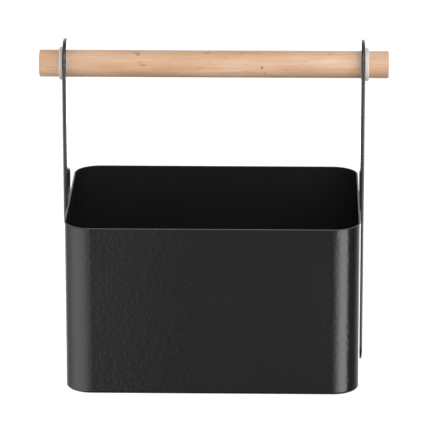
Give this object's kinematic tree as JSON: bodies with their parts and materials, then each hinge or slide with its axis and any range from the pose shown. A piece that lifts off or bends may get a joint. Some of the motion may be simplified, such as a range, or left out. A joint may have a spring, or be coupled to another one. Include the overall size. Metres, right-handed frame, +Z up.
{
  "type": "tool storage caddy",
  "caption": "Open steel box with rounded corners, two plate arms on its short sides and a round wooden carry bar that turns in plastic bushes.",
  "frame": {"origin": "centre of the base, on the surface that the caddy stands on", "axes": "+Z up, +X along the carry bar, -Y the front long side"},
  "size_m": [0.309, 0.196, 0.2981],
  "materials": {
    "black_coat": "fine satin black powder coat on sheet steel",
    "beech": "sanded beech, clear matt oil",
    "bush_plastic": "translucent off-white moulded plastic",
    "fixings": "black zinc-plated steel"
  },
  "bodies": {
    "caddy": {"wall_band": "black_coat", "base_panel": "black_coat", "left_arm": "black_coat", "right_arm": "black_coat", "left_bush": "bush_plastic", "right_bush": "bush_plastic", "left_upper_screw": "fixings", "left_lower_screw": "fixings", "right_upper_screw": "fixings", "right_lower_screw": "fixings", "left_upper_washer": "fixings", "left_lower_washer": "fixings", "right_upper_washer": "fixings", "right_lower_washer": "fixings", "left_upper_nut": "fixings", "left_lower_nut": "fixings", "right_upper_nut": "fixings", "right_lower_nut": "fixings"},
    "handle": {"handle_bar": "beech"}
  },
  "joints": [
    {"name": "handle_spin", "type": "hinge", "parent": "caddy", "child": "handle", "pos_m": [0, 0, 0.2756], "axis": [1, 0, 0], "continuous": true}
  ]
}
